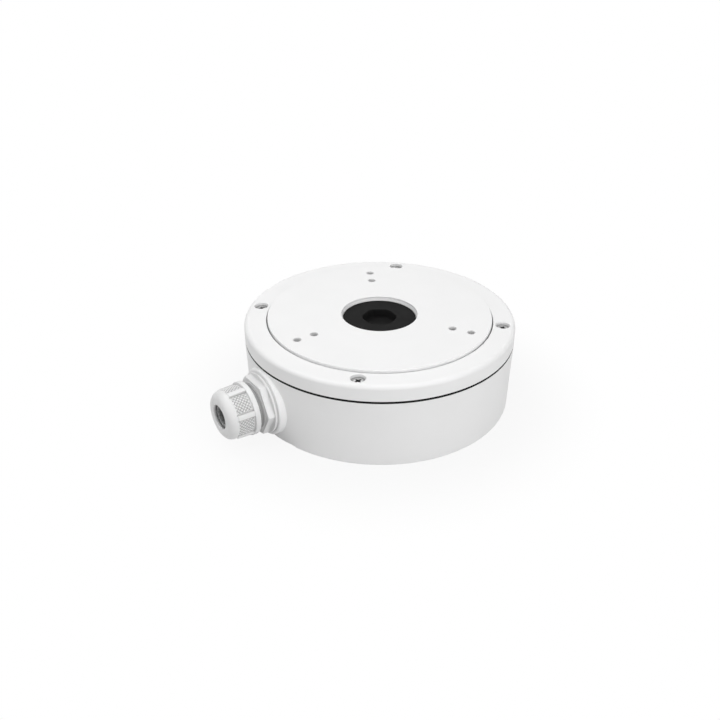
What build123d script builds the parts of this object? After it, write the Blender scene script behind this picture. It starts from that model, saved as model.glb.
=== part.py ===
from build123d import *
import math
import os

# Camera junction box: a round cast cup and a flat cast cover with a gasket between them,
# and a cable gland in the cup's side. Millimetres, +Z up, origin on the box's axis at its
# underside. The camera screws onto the cover, and the underside lies against the wall.

# Outer form of the castings
RIM_RADIUS = 78.5
FOOT_INSET = 1.1  # the cup narrows by this much from its rim to its underside
FOOT_ROUND = 1.0
BASE_WALL = 3.0
BASE_FLOOR = 3.0
FLOOR_ROUND = 2.0
COVER_HEIGHT = 9.3
COVER_ROUND = 2.5
COVER_PLATE = 3.3
DISC_INSET = 13.45  # from the rim to the raised disc
DISC_RISE = 1.4
DISC_ROUND = 0.35
GROOVE_WIDTH = 0.8  # of the groove at the foot of the disc
GROOVE_DEPTH = 0.9

# Gasket and the cover's locating lip
GASKET_THICKNESS = 1.4
GASKET_INSET = 0.15
LIP_WIDTH = 1.9
LIP_DEPTH = 3.0
LIP_CLEARANCE = 0.4

# Cover screws and the posts that take them
SCREW_COUNT = 4
SCREW_FIRST_ANGLE = 80.0
SCREW_INSET = 7.3
SCREW_RADIUS = 2.0
SCREW_LENGTH = 16.0
SCREW_HEAD_RADIUS = 3.8
SCREW_HEAD_HEIGHT = 2.6
SCREW_HEAD_SINK = 1.7  # the head lies this far below the cover's ring
HEAD_CLEARANCE = 0.3
SHANK_CLEARANCE = 0.25
THREAD_CLEARANCE = 0.05
HOLE_RUN_OUT = 3.0  # a blind tapped hole goes on this far past its screw
POST_RADIUS = 5.0
COVER_BOSS_WALL = 1.9
LIP_POST_GAP = 0.6
HEAD_ROUND = 1.1
RECESS_SPAN = 4.4
RECESS_WIDTH = 1.0
RECESS_DEPTH = 1.4
RECESS_TURN = 35.0  # each next screw stopped this much further round

# Tapped holes for the camera, in pairs on two circles
CAMERA_PAIRS = 3
CAMERA_FIRST_ANGLE = 95.0
CAMERA_CIRCLES = (45.0, 56.0)
CAMERA_HOLE_RADIUS = 2.1
CAMERA_HOLE_CHAMFER = 0.4
CAMERA_HOLE_DEPTH = 9.0
CAMERA_BOSS_WALL = 2.4
CAMERA_BOSS_END = 1.5

# Ribs under the cover
RIB_COUNT = 12
RIB_WIDTH = 2.0
RIB_DEPTH = 3.0

# Centre hole and its rubber grommet
CENTRE_RADIUS = 22.0
CENTRE_ROUND = 0.5
CENTRE_STRAIGHT = 1.2  # the hole's wall drops straight by this much, then narrows
CENTRE_TAPER = 0.6
GROMMET_SINK = 2.5  # the rubber's face lies this far below the disc
GROMMET_FLANGE = 2.7
GROMMET_LEDGE = 3.0  # width of the metal ledge that the grommet grips
LEDGE_THICKNESS = 2.0
HUB_WALL = 3.0
GROMMET_GAP = 0.1
GROMMET_BACK_LAP = 2.5
GROMMET_BACK = 2.0
POCKET_ACROSS = 18.6
POCKET_ROUND = 3.0
POCKET_DEPTH = 5.3

# Wall-fixing holes in the floor
WALL_HOLE_COUNT = 4
WALL_HOLE_FIRST_ANGLE = 35.0
WALL_HOLE_CIRCLE = 55.0
WALL_HOLE_RADIUS = 2.75
WALL_PAD_WALL = 3.5
WALL_PAD_RISE = 1.0

# Rear cable entry with its plug
PLUG_THREAD_RADIUS = 12.5
PLUG_FLANGE_LAP = 3.0
PLUG_FLANGE = 2.2
PLUG_SINK = 0.3  # the plug's face lies this far inside the underside
PLUG_LENGTH = 8.0
PLUG_BOSS_WALL = 3.5
PLUG_BORE_RADIUS = 9.0
PLUG_END = 2.5
PLUG_BOSS_PAST_END = 1.0
PLUG_SLOT_WIDTH = 3.0
PLUG_SLOT_DEPTH = 1.4
PLUG_RING_WIRE = 0.75
PLUG_GAP = 0.3

# Earth terminal
EARTH_ANGLE = 305.0
EARTH_CIRCLE = 34.0
EARTH_BOSS_RADIUS = 4.6
EARTH_BOSS_RISE = 5.0
EARTH_SCREW_LENGTH = 6.0
EARTH_WASHER_RADIUS = 4.4
EARTH_WASHER_THICKNESS = 0.9

# Cable gland: its axis is level, and distances run outward from the box's axis
GLAND_ANGLE = 215.0
GLAND_THREAD_RADIUS = 12.5
BOSS_WALL = 6.45
BOSS_BELOW = 0.8  # from the underside to the gland boss
BOSS_ABOVE = 0.6  # from the gland boss to the cup's top
BOSS_REACH = 1.5  # the boss's face stands this far outside the rim
BOSS_THICKNESS = 8.0
BOSS_ROUND = 1.0
BORE_CLEARANCE = 0.25
GLAND_BORE_RADIUS = 9.0

WASHER_THICKNESS = 0.6
WASHER_WIDTH = 4.4
COLLAR_LAP = 5.0
COLLAR_LENGTH = 1.1
COLLAR_ROUND = 0.3
HEX_WALL = 2.25  # from the gland's thread to a flat of the hexagon
HEX_LENGTH = 3.8
HEX_CHAMFER = 0.8
LOCKNUT_WALL = 3.5
LOCKNUT_THICKNESS = 5.0
LOCKNUT_CHAMFER = 1.0
SHANK_PAST_LOCKNUT = 2.0

NECK_RADIUS = 13.2
NECK_LENGTH = 12.0
NECK_EDGE = 0.6
NUT_GAP = 3.5  # bare neck between the hexagon and the nut
NUT_CLEARANCE = 0.05
NUT_REAR_RING = 3.0
NUT_REAR_WALL = 2.1
NUT_BARREL_WALL = 0.85
NUT_BARREL_LENGTH = 10.3
NUT_REAR_ROUND = 0.5
NUT_NOSE_STEP = 0.25
NUT_NOSE_ROUND = 4.2
NUT_MOUTH_RADIUS = 6.9
NUT_LIP_ROUND = 0.9
BAR_COUNT = 6
BAR_TURN = 18.0
BAR_WIDTH = 2.4
BAR_RISE_REAR = 0.75
BAR_RISE_FRONT = 0.4
BAR_ROUND = 0.25

# Clamping cage and rubber seal inside the nut
CAGE_CLEARANCE = 0.08
NECK_WALL = 1.25
CAGE_WALL = 1.3
CAGE_SEAT = 4.5  # from the hexagon's face to the floor of the cage's seat
CAGE_SEAT_GAP = 0.2
CAGE_RING_PAST_NECK = 0.6
CONE_CLEARANCE = 0.3
CONE_END_RADIUS = 8.4
CONE_END_INSET = 2.4  # from the nut's front to the small end of its cone
CAGE_SLOTS = 12
CAGE_SLOT_WIDTH = 1.0
SEAL_GAP = 0.1
SEAL_BORE_RADIUS = 5.2
SEAL_FRONT_INSET = 1.9
SEAL_MOUTH_CLEARANCE = 0.4
SEAL_LEAD_IN = 0.6

# How the solids are made
OVERLAP = 1.0  # forms of one casting run this far into each other, and cuts this far past a face
CHAMFER_ANGLE = 30.0  # of the bevel on the corners of a hexagon
TOUCH = 0.01  # edges this close to a place count as lying there

# Worked out from the sizes above
boss_radius = GLAND_THREAD_RADIUS + BORE_CLEARANCE + BOSS_WALL
gland_height = BOSS_BELOW + boss_radius
base_height = gland_height + boss_radius + BOSS_ABOVE
cover_bottom = base_height + GASKET_THICKNESS
ring_top = cover_bottom + COVER_HEIGHT
disc_top = ring_top + DISC_RISE
plate_under = ring_top - COVER_PLATE
wall_inside = RIM_RADIUS - BASE_WALL
screw_circle = RIM_RADIUS - SCREW_INSET
screw_seat = ring_top - SCREW_HEAD_SINK - SCREW_HEAD_HEIGHT
centre_foot = CENTRE_RADIUS - CENTRE_TAPER
grommet_face = disc_top - GROMMET_SINK
ledge_top = grommet_face - GROMMET_FLANGE
ledge_under = ledge_top - LEDGE_THICKNESS
ledge_radius = CENTRE_RADIUS - GROMMET_LEDGE

plug_flange_radius = PLUG_THREAD_RADIUS + PLUG_FLANGE_LAP
plug_seat = PLUG_SINK + PLUG_FLANGE
plug_recess = plug_seat + 2 * PLUG_RING_WIRE
entry_top = plug_recess + PLUG_LENGTH + PLUG_BOSS_PAST_END
earth_seat = BASE_FLOOR + EARTH_BOSS_RISE
fitting_foot = BASE_FLOOR - OVERLAP

boss_face = RIM_RADIUS + BOSS_REACH
boss_back = boss_face - BOSS_THICKNESS
collar_start = boss_face + WASHER_THICKNESS
hex_start = collar_start + COLLAR_LENGTH
collar_radius = GLAND_THREAD_RADIUS + COLLAR_LAP
washer_radius = GLAND_THREAD_RADIUS + WASHER_WIDTH
hex_across = 2 * (GLAND_THREAD_RADIUS + HEX_WALL)
locknut_across = 2 * (GLAND_THREAD_RADIUS + LOCKNUT_WALL)
hex_face = hex_start + HEX_LENGTH
neck_end = hex_face + NECK_LENGTH
nut_start = hex_face + NUT_GAP
barrel_start = nut_start + NUT_REAR_RING
barrel_end = barrel_start + NUT_BARREL_LENGTH
nut_end = barrel_end + NUT_NOSE_ROUND
cone_end = nut_end - CONE_END_INSET
cage_seat = hex_face + CAGE_SEAT
cage_start = cage_seat + CAGE_SEAT_GAP
cage_turn = neck_end + CAGE_RING_PAST_NECK
nut_bore = NECK_RADIUS + NUT_CLEARANCE
seat_radius = NECK_RADIUS - NECK_WALL
cage_radius = seat_radius - CAGE_CLEARANCE

UPRIGHT = (Align.CENTER, Align.CENTER, Align.MIN)


def rod(radius, start, end):
    """Cylinder about Z between two heights."""
    return Pos(0, 0, start) * Cylinder(radius, end - start, align=UPRIGHT)


def tube(outer, inner, start, end):
    """Ring about Z between two heights."""
    return rod(outer, start, end) - rod(inner, start, end)


def turned(points):
    """Solid turned about Z from a closed outline of (radius, height) points."""
    return revolve(Plane.XZ * make_face(Polyline(*points, close=True)), Axis.Z)


def around(count, first, radius):
    """Places on a circle about Z, each turned to face outward."""
    step = 360 / count
    return [Rot(0, 0, first + i * step) * Pos(radius, 0, 0) for i in range(count)]


def round_rings(solid, radius, height, amount):
    """Fillet the full circles of one radius that lie at one height."""
    rings = [
        edge
        for edge in solid.edges().filter_by(GeomType.CIRCLE)
        if abs(edge.radius - radius) < TOUCH and abs(edge.center().Z - height) < TOUCH
    ]
    return fillet(rings, amount)


def hexagon(across, start, end):
    """Hexagonal prism about Z, given across its flats, with corners on the X axis."""
    outline = RegularPolygon(across / math.sqrt(3), 6)
    return Pos(0, 0, start) * extrude(outline, end - start)


def chamfer_cone(across, length, cut):
    """Turned blank that bevels the corners of a hexagon at its far end."""
    corner = across / math.sqrt(3)
    slope = cut * math.tan(math.radians(CHAMFER_ANGLE))
    return turned([(0, 0), (corner, 0), (corner, length - slope), (corner - cut, length), (0, length)])


def on_gland_axis(solid):
    """Place a piece modelled along Z on the gland's level axis."""
    angle = math.radians(GLAND_ANGLE)
    outward = (math.cos(angle), math.sin(angle), 0)
    level = (-math.sin(angle), math.cos(angle), 0)
    return Plane(origin=(0, 0, gland_height), x_dir=level, z_dir=outward).location * solid


def make_base():
    """Drafted cup with screw posts, wall-fixing holes, rear entry and gland boss."""
    foot = RIM_RADIUS - FOOT_INSET
    cup = turned([(0, 0), (foot, 0), (RIM_RADIUS, base_height), (0, base_height)])
    cup = round_rings(cup, foot, 0, FOOT_ROUND)
    inner_foot = wall_inside - FOOT_INSET * (base_height - BASE_FLOOR) / base_height
    hollow = turned(
        [(0, BASE_FLOOR), (inner_foot, BASE_FLOOR), (wall_inside, base_height), (0, base_height)]
    )
    hollow = round_rings(hollow, inner_foot, BASE_FLOOR, FLOOR_ROUND)
    base = cup - hollow
    boss = round_rings(rod(boss_radius, boss_back, boss_face), boss_radius, boss_face, BOSS_ROUND)
    base += on_gland_axis(boss)
    base += floor_fittings()
    for place in around(SCREW_COUNT, SCREW_FIRST_ANGLE, screw_circle):
        base += place * rod(POST_RADIUS, fitting_foot, base_height)
    bore = rod(GLAND_THREAD_RADIUS + BORE_CLEARANCE, boss_back - OVERLAP, boss_face + OVERLAP)
    base -= on_gland_axis(bore)
    return base - base_holes()


def floor_fittings():
    """Pads, entry boss and earth boss that stand up from the cup's floor."""
    top = BASE_FLOOR + WALL_PAD_RISE
    pad = rod(WALL_HOLE_RADIUS + WALL_PAD_WALL, fitting_foot, top)
    pads = [place * pad for place in around(WALL_HOLE_COUNT, WALL_HOLE_FIRST_ANGLE, WALL_HOLE_CIRCLE)]
    entry = rod(plug_flange_radius + PLUG_BOSS_WALL, fitting_foot, entry_top)
    earth = rod(EARTH_BOSS_RADIUS, fitting_foot, earth_seat)
    return Part() + pads + entry + around(1, EARTH_ANGLE, EARTH_CIRCLE)[0] * earth


def base_holes():
    """Tapped pilot holes, wall-fixing holes and the stepped rear entry."""
    pilot = SCREW_RADIUS + THREAD_CLEARANCE
    holes = []
    for place in around(SCREW_COUNT, SCREW_FIRST_ANGLE, screw_circle):
        holes.append(place * rod(pilot, screw_seat - SCREW_LENGTH - HOLE_RUN_OUT, base_height))
    for place in around(WALL_HOLE_COUNT, WALL_HOLE_FIRST_ANGLE, WALL_HOLE_CIRCLE):
        holes.append(place * rod(WALL_HOLE_RADIUS, 0, BASE_FLOOR + WALL_PAD_RISE))
    earth_hole = rod(pilot, earth_seat - EARTH_SCREW_LENGTH, earth_seat)
    holes.append(around(1, EARTH_ANGLE, EARTH_CIRCLE)[0] * earth_hole)
    holes.append(rod(PLUG_THREAD_RADIUS + THREAD_CLEARANCE, 0, entry_top))
    holes.append(rod(plug_flange_radius + PLUG_GAP, 0, plug_recess))
    return Part() + holes


def make_cover():
    """Cover with a raised disc in a groove, centre hole, hub, lip, ribs, bosses and holes."""
    lip_outer = wall_inside - LIP_CLEARANCE
    lip_inner = lip_outer - LIP_WIDTH
    disc = RIM_RADIUS - DISC_INSET
    hub = CENTRE_RADIUS + HUB_WALL
    groove_floor = ring_top - GROOVE_DEPTH
    cover = turned(
        [
            (CENTRE_RADIUS, disc_top),
            (disc, disc_top),
            (disc, groove_floor),
            (disc + GROOVE_WIDTH, groove_floor),
            (disc + GROOVE_WIDTH, ring_top),
            (RIM_RADIUS, ring_top),
            (RIM_RADIUS, cover_bottom),
            (lip_outer, cover_bottom),
            (lip_outer, cover_bottom - LIP_DEPTH),
            (lip_inner, cover_bottom - LIP_DEPTH),
            (lip_inner, plate_under),
            (hub, plate_under),
            (hub, ledge_under),
            (ledge_radius, ledge_under),
            (ledge_radius, ledge_top),
            (centre_foot, ledge_top),
            (centre_foot, grommet_face),
            (CENTRE_RADIUS, disc_top - CENTRE_STRAIGHT),
        ]
    )
    cover = round_rings(cover, RIM_RADIUS, ring_top, COVER_ROUND)
    cover = round_rings(cover, disc, disc_top, DISC_ROUND)
    cover = round_rings(cover, CENTRE_RADIUS, disc_top, CENTRE_ROUND)
    cover += cover_ribs(hub, lip_inner)
    cover -= on_gland_axis(rod(boss_radius + LIP_POST_GAP, boss_back - LIP_POST_GAP, boss_face))
    screw_boss = SCREW_HEAD_RADIUS + HEAD_CLEARANCE + COVER_BOSS_WALL
    for place in around(SCREW_COUNT, SCREW_FIRST_ANGLE, screw_circle):
        cover -= place * rod(POST_RADIUS + LIP_POST_GAP, cover_bottom - LIP_DEPTH, cover_bottom)
        cover += place * rod(screw_boss, cover_bottom, ring_top - COVER_ROUND)
    return cover - cover_holes()


def cover_ribs(inner, outer):
    """Radial ribs, and the bosses of the camera holes joined in pairs by them."""
    top = plate_under + OVERLAP
    length = outer - inner + OVERLAP
    rib = Pos((inner + outer) / 2, 0, plate_under - RIB_DEPTH) * Box(
        length, RIB_WIDTH, top - plate_under + RIB_DEPTH, align=UPRIGHT
    )
    ribs = [turn * rib for turn in around(RIB_COUNT, CAMERA_FIRST_ANGLE, 0)]
    boss_end = disc_top - CAMERA_HOLE_DEPTH - CAMERA_BOSS_END
    boss = rod(CAMERA_HOLE_RADIUS + CAMERA_BOSS_WALL, boss_end, top)
    for circle in CAMERA_CIRCLES:
        ribs += [place * boss for place in around(CAMERA_PAIRS, CAMERA_FIRST_ANGLE, circle)]
    return Part() + ribs


def cover_holes():
    """Counterbored screw holes and the chamfered tapped holes for the camera."""
    holes = []
    for place in around(SCREW_COUNT, SCREW_FIRST_ANGLE, screw_circle):
        holes.append(place * rod(SCREW_HEAD_RADIUS + HEAD_CLEARANCE, screw_seat, ring_top))
        holes.append(place * rod(SCREW_RADIUS + SHANK_CLEARANCE, cover_bottom, screw_seat))
    mouth = CAMERA_HOLE_RADIUS + CAMERA_HOLE_CHAMFER
    tapped = turned(
        [
            (0, disc_top - CAMERA_HOLE_DEPTH),
            (CAMERA_HOLE_RADIUS, disc_top - CAMERA_HOLE_DEPTH),
            (CAMERA_HOLE_RADIUS, disc_top - CAMERA_HOLE_CHAMFER),
            (mouth, disc_top),
            (0, disc_top),
        ]
    )
    for circle in CAMERA_CIRCLES:
        holes += [place * tapped for place in around(CAMERA_PAIRS, CAMERA_FIRST_ANGLE, circle)]
    return Part() + holes


def make_cover_gasket():
    """Flat rubber ring between cup and cover, with an eye over each screw post."""
    outer = RIM_RADIUS - GASKET_INSET
    gasket = tube(outer, wall_inside, base_height, cover_bottom)
    for place in around(SCREW_COUNT, SCREW_FIRST_ANGLE, screw_circle):
        gasket += place * rod(POST_RADIUS, base_height, cover_bottom)
    for place in around(SCREW_COUNT, SCREW_FIRST_ANGLE, screw_circle):
        gasket -= place * rod(SCREW_RADIUS + SHANK_CLEARANCE, base_height, cover_bottom)
    return gasket


def pan_head_screw(length):
    """Screw with its head's seat at Z = 0 and a cross recess in the head."""
    head = rod(SCREW_HEAD_RADIUS, 0, SCREW_HEAD_HEIGHT)
    head = round_rings(head, SCREW_HEAD_RADIUS, SCREW_HEAD_HEIGHT, HEAD_ROUND)
    recess_floor = SCREW_HEAD_HEIGHT - RECESS_DEPTH
    slot = Pos(0, 0, recess_floor) * Box(RECESS_SPAN, RECESS_WIDTH, RECESS_DEPTH, align=UPRIGHT)
    return head + rod(SCREW_RADIUS, -length, 0) - slot - Rot(0, 0, 90) * slot


def make_cover_screws():
    """Four equal screws, each turned a little differently, as they are when tightened."""
    screw = Pos(0, 0, screw_seat) * pan_head_screw(SCREW_LENGTH)
    places = around(SCREW_COUNT, SCREW_FIRST_ANGLE, screw_circle)
    return Compound(children=[place * Rot(0, 0, i * RECESS_TURN) * screw for i, place in enumerate(places)])


def make_grommet():
    """Rubber grommet that grips the cover's ledge, with a blind lobed pocket in its face."""
    flange = rod(centre_foot - GROMMET_GAP, ledge_top, grommet_face)
    waist = rod(ledge_radius - GROMMET_GAP, ledge_under, ledge_top)
    back = rod(ledge_radius + GROMMET_BACK_LAP, ledge_under - GROMMET_BACK, ledge_under)
    outline = RegularPolygon(POCKET_ACROSS / math.sqrt(3), 6)
    pocket = extrude(fillet(outline.vertices(), POCKET_ROUND), POCKET_DEPTH)
    return flange + waist + back - Pos(0, 0, grommet_face - POCKET_DEPTH) * pocket


def make_rear_plug():
    """Slotted screw plug that closes the rear cable entry, open towards the inside."""
    end = plug_recess + PLUG_LENGTH
    plug = rod(plug_flange_radius, PLUG_SINK, plug_seat) + rod(PLUG_THREAD_RADIUS, plug_seat, end)
    plug -= rod(PLUG_BORE_RADIUS, plug_seat + PLUG_END, end)
    slot = Box(2 * plug_flange_radius, PLUG_SLOT_WIDTH, PLUG_SLOT_DEPTH, align=UPRIGHT)
    return plug - Pos(0, 0, PLUG_SINK) * slot


def make_plug_ring():
    """O-ring under the rear plug's flange."""
    ring = Torus(PLUG_THREAD_RADIUS + PLUG_FLANGE_LAP / 2, PLUG_RING_WIRE)
    return Pos(0, 0, plug_seat + PLUG_RING_WIRE) * ring


def make_earth_washer():
    """Plain washer under the earth screw's head."""
    hole = SCREW_RADIUS + SHANK_CLEARANCE
    washer = tube(EARTH_WASHER_RADIUS, hole, earth_seat, earth_seat + EARTH_WASHER_THICKNESS)
    return around(1, EARTH_ANGLE, EARTH_CIRCLE)[0] * washer


def make_earth_screw():
    """Screw of the earth terminal, on its washer."""
    height = earth_seat + EARTH_WASHER_THICKNESS
    screw = Pos(0, 0, height) * pan_head_screw(EARTH_SCREW_LENGTH)
    return around(1, EARTH_ANGLE, EARTH_CIRCLE)[0] * screw


def make_gland_washer():
    """Rubber sealing washer between the boss and the gland's collar."""
    return on_gland_axis(tube(washer_radius, GLAND_THREAD_RADIUS + NUT_CLEARANCE, boss_face, collar_start))


def make_gland_body():
    """Gland body: shank through the boss, collar, hexagon and the neck that takes the nut."""
    start = boss_back - LOCKNUT_THICKNESS - SHANK_PAST_LOCKNUT
    collar = rod(collar_radius, collar_start, hex_start)
    collar = round_rings(collar, collar_radius, hex_start, COLLAR_ROUND)
    nut = hexagon(hex_across, hex_start, hex_face)
    nut &= Pos(0, 0, hex_start) * chamfer_cone(hex_across, HEX_LENGTH, HEX_CHAMFER)
    neck = chamfer(rod(NECK_RADIUS, hex_face, neck_end).edges().group_by(Axis.Z)[-1], NECK_EDGE)
    body = rod(GLAND_THREAD_RADIUS, start, collar_start) + collar + nut + neck
    body -= rod(GLAND_BORE_RADIUS, start, neck_end)
    body -= rod(seat_radius, cage_seat, neck_end)
    return on_gland_axis(body)


def make_locknut():
    """Hexagonal locknut on the shank, against the boss's inner face."""
    start = boss_back - LOCKNUT_THICKNESS
    nut = hexagon(locknut_across, 0, LOCKNUT_THICKNESS)
    nut &= chamfer_cone(locknut_across, LOCKNUT_THICKNESS, LOCKNUT_CHAMFER)
    nut -= rod(GLAND_THREAD_RADIUS + THREAD_CLEARANCE, 0, LOCKNUT_THICKNESS)
    return on_gland_axis(Pos(0, 0, start + LOCKNUT_THICKNESS) * Rot(180, 0, 0) * nut)


def cone_radius(distance):
    """Radius of the nut's inner cone at a distance along the gland."""
    start_radius = cage_radius + CONE_CLEARANCE
    share = (distance - cage_turn) / (cone_end - cage_turn)
    return start_radius + share * (CONE_END_RADIUS - start_radius)


def make_cage():
    """Clamping cage: a ring with fingers that taper along the nut's cone."""
    tip = cone_end - CAGE_SEAT_GAP
    outer_tip = cone_radius(tip) - CONE_CLEARANCE
    cage = turned(
        [
            (cage_radius - CAGE_WALL, cage_start),
            (cage_radius, cage_start),
            (cage_radius, cage_turn),
            (outer_tip, tip),
            (outer_tip - CAGE_WALL, tip),
            (cage_radius - CAGE_WALL, cage_turn),
        ]
    )
    slot_start = neck_end - CAGE_SLOT_WIDTH
    slot = Pos(0, 0, slot_start) * Box(2 * NECK_RADIUS, CAGE_SLOT_WIDTH, tip - slot_start, align=UPRIGHT)
    for i in range(CAGE_SLOTS // 2):
        cage -= Rot(0, 0, i * 360 / CAGE_SLOTS) * slot
    return on_gland_axis(cage)


def make_seal():
    """Rubber sleeve inside the cage, with a lead-in at its mouth."""
    tip = cone_end - CAGE_SEAT_GAP
    outer = cage_radius - CAGE_WALL - SEAL_GAP
    outer_tip = cone_radius(tip) - CONE_CLEARANCE - CAGE_WALL - SEAL_GAP
    front = nut_end - SEAL_FRONT_INSET
    front_radius = min(outer_tip, NUT_MOUTH_RADIUS - SEAL_MOUTH_CLEARANCE)
    seal = turned(
        [
            (SEAL_BORE_RADIUS, cage_start),
            (outer, cage_start),
            (outer, cage_turn),
            (outer_tip, tip),
            (front_radius, front),
            (SEAL_BORE_RADIUS + SEAL_LEAD_IN, front),
            (SEAL_BORE_RADIUS, front - SEAL_LEAD_IN),
        ]
    )
    return on_gland_axis(seal)


def make_dome_nut():
    """Dome nut: rear ring, barrel with raised bars, round nose, thread bore and inner cone."""
    barrel = nut_bore + NUT_BARREL_WALL
    rear = rod(nut_bore + NUT_REAR_WALL, nut_start, barrel_start)
    rear = fillet(rear.edges().filter_by(GeomType.CIRCLE), NUT_REAR_ROUND)
    shell = rear + rod(barrel, barrel_start - NUT_REAR_ROUND, barrel_end) + nut_nose(barrel - NUT_NOSE_STEP)
    shell += nut_bars(barrel)
    inside = turned(
        [
            (0, nut_start),
            (nut_bore, nut_start),
            (nut_bore, cage_turn),
            (cone_radius(cage_turn), cage_turn),
            (CONE_END_RADIUS, cone_end),
            (NUT_MOUTH_RADIUS, cone_end + CONE_END_RADIUS - NUT_MOUTH_RADIUS),
            (NUT_MOUTH_RADIUS, nut_end),
            (0, nut_end),
        ]
    )
    return on_gland_axis(shell - inside)


def nut_nose(radius):
    """Ring with a quarter-round outer edge and a rolled lip at the nut's mouth."""
    back = barrel_end - NUT_NOSE_STEP
    lip_start = nut_end - NUT_LIP_ROUND
    dome = CenterArc((radius - NUT_NOSE_ROUND, barrel_end), NUT_NOSE_ROUND, 0, 90)
    lip = CenterArc((NUT_MOUTH_RADIUS + NUT_LIP_ROUND, lip_start), NUT_LIP_ROUND, 90, 90)
    outline = [
        Polyline((NUT_MOUTH_RADIUS, lip_start), (NUT_MOUTH_RADIUS, back), (radius, back), dome @ 0),
        dome,
        Line(dome @ 1, lip @ 0),
        lip,
    ]
    return revolve(Plane.XZ * make_face(outline), Axis.Z)


def nut_bars(barrel):
    """Smooth raised bars along the barrel, lower towards the nose."""
    hull = turned(
        [
            (0, barrel_start),
            (barrel + BAR_RISE_REAR, barrel_start),
            (barrel + BAR_RISE_FRONT, barrel_end),
            (0, barrel_end),
        ]
    )
    reach = barrel + BAR_RISE_REAR
    blank = Pos(reach / 2, 0, barrel_start) * Box(reach, BAR_WIDTH, NUT_BARREL_LENGTH, align=UPRIGHT)
    bar = blank & hull
    bar = fillet(bar.faces().sort_by(Axis.X)[-1].edges(), BAR_ROUND)
    return Part() + [Rot(0, 0, BAR_TURN + i * 360 / BAR_COUNT) * bar for i in range(BAR_COUNT)]


PIECES = {
    "base_housing": make_base,
    "cover": make_cover,
    "cover_gasket": make_cover_gasket,
    "cover_screws": make_cover_screws,
    "cable_grommet": make_grommet,
    "rear_entry_plug": make_rear_plug,
    "rear_plug_o_ring": make_plug_ring,
    "earth_washer": make_earth_washer,
    "earth_screw": make_earth_screw,
    "gland_washer": make_gland_washer,
    "gland_body": make_gland_body,
    "gland_locknut": make_locknut,
    "gland_cage": make_cage,
    "gland_seal": make_seal,
    "gland_dome_nut": make_dome_nut,
}

os.makedirs("parts", exist_ok=True)
for name, make in PIECES.items():
    export_step(make(), f"parts/{name}.step")
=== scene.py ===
import math

import bmesh
import bpy
import numpy as np
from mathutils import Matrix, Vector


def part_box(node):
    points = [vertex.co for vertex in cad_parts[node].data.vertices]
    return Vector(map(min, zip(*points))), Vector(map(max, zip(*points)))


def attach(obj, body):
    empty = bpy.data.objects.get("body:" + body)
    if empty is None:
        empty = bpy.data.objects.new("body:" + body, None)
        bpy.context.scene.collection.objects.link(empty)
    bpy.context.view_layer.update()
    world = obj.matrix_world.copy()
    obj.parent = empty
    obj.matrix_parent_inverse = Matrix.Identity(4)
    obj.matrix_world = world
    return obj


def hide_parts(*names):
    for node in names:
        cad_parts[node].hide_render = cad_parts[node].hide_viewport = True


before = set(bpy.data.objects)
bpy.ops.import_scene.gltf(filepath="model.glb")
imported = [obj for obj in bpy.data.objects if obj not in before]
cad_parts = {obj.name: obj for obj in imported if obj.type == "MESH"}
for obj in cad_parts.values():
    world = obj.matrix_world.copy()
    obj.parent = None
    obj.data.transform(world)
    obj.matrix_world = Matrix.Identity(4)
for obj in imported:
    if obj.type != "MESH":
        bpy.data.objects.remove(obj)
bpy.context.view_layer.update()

# Looks of the round junction box: white cast cup and cover, rubber gasket and grommet, sunk
# steel screws and a white cable gland. Shapes are worked out in millimetres about the box's axis.

MM = 0.001
TURN = 2 * math.pi
COLUMNS = 360  # one column of points for each degree round the castings
SKIN = 0.01  # the looks stay this far inside the outermost faces of the solids


def corners(node):
    """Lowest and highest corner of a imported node, in millimetres."""
    low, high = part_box(node)
    return np.array(low) / MM, np.array(high) / MM


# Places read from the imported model
cup_high = corners("base_housing")[1]
cover_low, cover_high = corners("cover")
gasket_low, gasket_high = corners("cover_gasket")
rubber_low, rubber_high = corners("cable_grommet")
screws_low, screws_high = corners("cover_screws")
nut_low, nut_high = corners("gland_dome_nut")

rim = cup_high[0] - SKIN
cup_top = cup_high[2]
cover_foot = gasket_high[2]
lip_foot = cover_low[2]
disc_top = cover_high[2] - SKIN
rubber_face = rubber_high[2]
head_top = screws_high[2]
gland_height = (nut_low[2] + nut_high[2]) / 2

# Castings
foot_radius = rim - 1.1
FOOT_ROUND = 1.0
wall_inside = rim - 3.0
FLOOR = 3.0
ring_top = disc_top - 1.4
plate_under = ring_top - 3.3
into_plate = plate_under + 1  # forms under the cover run this far into its plate
DISC = 65.05
GROOVE = 0.7  # width of the groove at the foot of the disc
groove_foot = ring_top - 1.6
CENTRE = 22.0
CENTRE_FOOT = 21.4
HUB = 25.0
LEDGE = 19.0
ledge_top = rubber_face - 2.7
ledge_under = rubber_face - 4.7
LIP = 73.2
RIB = 3.0
SCREW_CIRCLE = 71.2
SCREW_ANGLES = (80, 170, 260, 350)
COUNTERBORE = 4.0
HEAD_RADIUS = 3.55
SHANK = 2.0
SHANK_HOLE = 2.25
TAPPED_HOLE = 2.05
COVER_BOSS = 6.15
head_seat = head_top - 2.6
CAMERA_ANGLES = (95, 215, 335)
CAMERA_CIRCLES = (45.0, 56.0)
CAMERA_HOLE = 2.1
CAMERA_THREAD = 0.26  # depth of the thread, cut outward from the hole's wall
CAMERA_BOSS = 4.5
drill_shoulder = disc_top - 9.0
drill_tip = disc_top - 9.8
WALL_HOLE_ANGLES = (35, 125, 215, 305)
WALL_HOLE_CIRCLE = 55.0
WALL_HOLE = 2.75
WALL_PAD = 6.25
POST = 5.0
UNDER_FLOOR = FLOOR - 1  # forms inside the cup run this far down into its floor
EARTH_ANGLE = 305
EARTH_CIRCLE = 34.0
EARTH_BOSS = 4.6
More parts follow.
